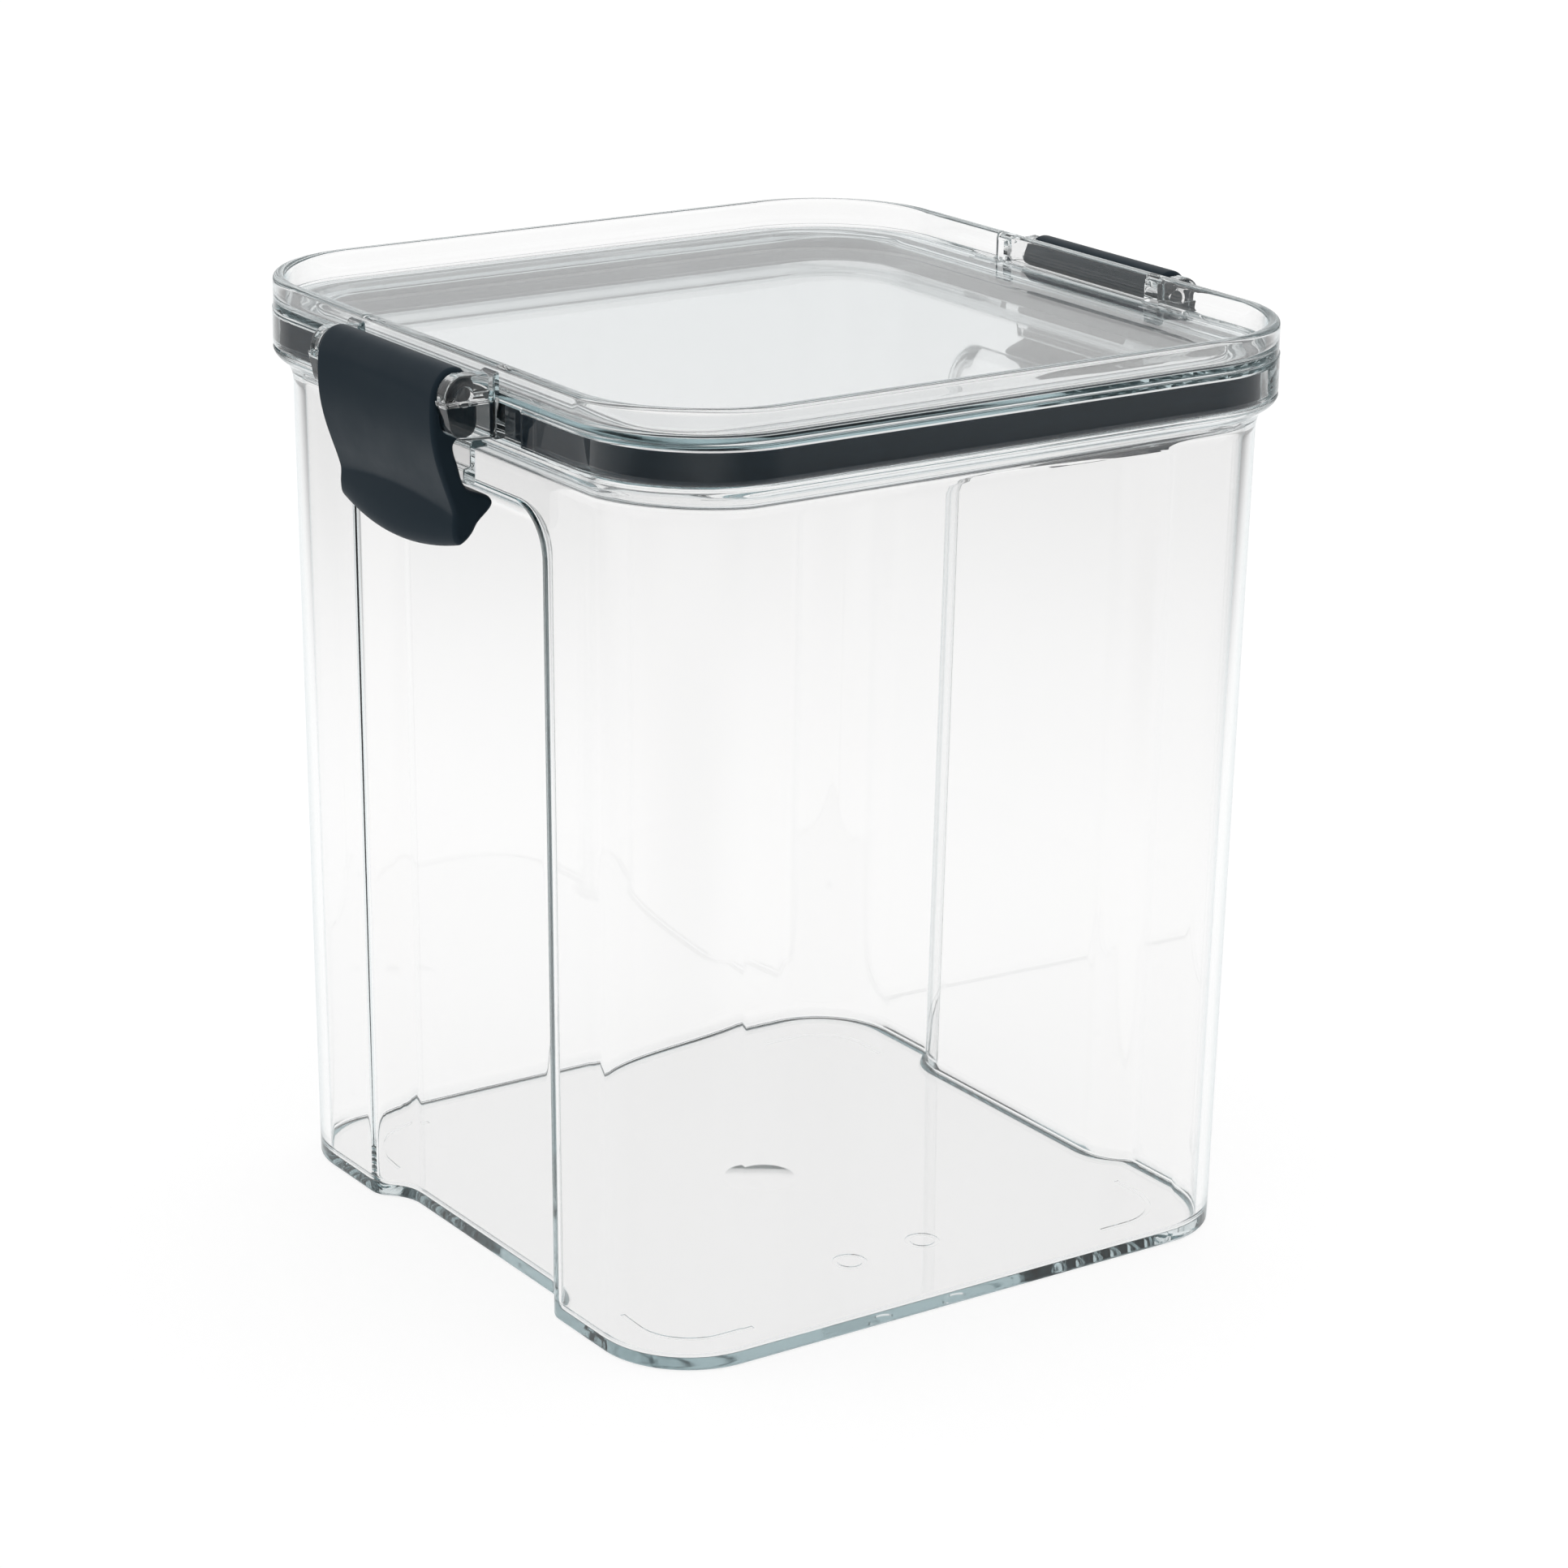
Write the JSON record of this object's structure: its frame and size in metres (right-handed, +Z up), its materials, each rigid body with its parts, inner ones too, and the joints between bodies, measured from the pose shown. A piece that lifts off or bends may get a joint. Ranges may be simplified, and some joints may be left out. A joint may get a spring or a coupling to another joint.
{
  "type": "food storage canister",
  "caption": "Clear square food canister with a recessed stacking lid, a seal gasket and swing latches on opposite sides that hook under catches on the body.",
  "frame": {"origin": "centre of the flat base, on the surface the canister stands on", "axes": "+Z up through the lid; the latches are on the -X and +X sides, the plain sides face -Y and +Y"},
  "size_m": [0.1708, 0.1544, 0.181],
  "materials": {
    "clear_plastic": "clear moulded plastic, polished",
    "charcoal_plastic": "satin charcoal moulded plastic",
    "gasket_silicone": "matt silicone"
  },
  "bodies": {
    "container": {"container_body": "clear_plastic"},
    "lid_assembly": {"lid": "clear_plastic", "gasket": "gasket_silicone"},
    "latch_left": {"latch_left": "charcoal_plastic"},
    "latch_right": {"latch_right": "charcoal_plastic"}
  },
  "joints": [
    {"name": "lid_lift", "type": "slide", "parent": "container", "child": "lid_assembly", "axis": [0, 0, 1], "range_m": [0, 0.2]},
    {"name": "latch_left_swing", "type": "hinge", "parent": "lid_assembly", "child": "latch_left", "pos_m": [-0.0806, 0, 0.1755], "axis": [0, 1, 0], "range_deg": [0, 110]},
    {"name": "latch_right_swing", "type": "hinge", "parent": "lid_assembly", "child": "latch_right", "pos_m": [0.0806, 0, 0.1755], "axis": [0, -1, 0], "range_deg": [0, 110]}
  ]
}
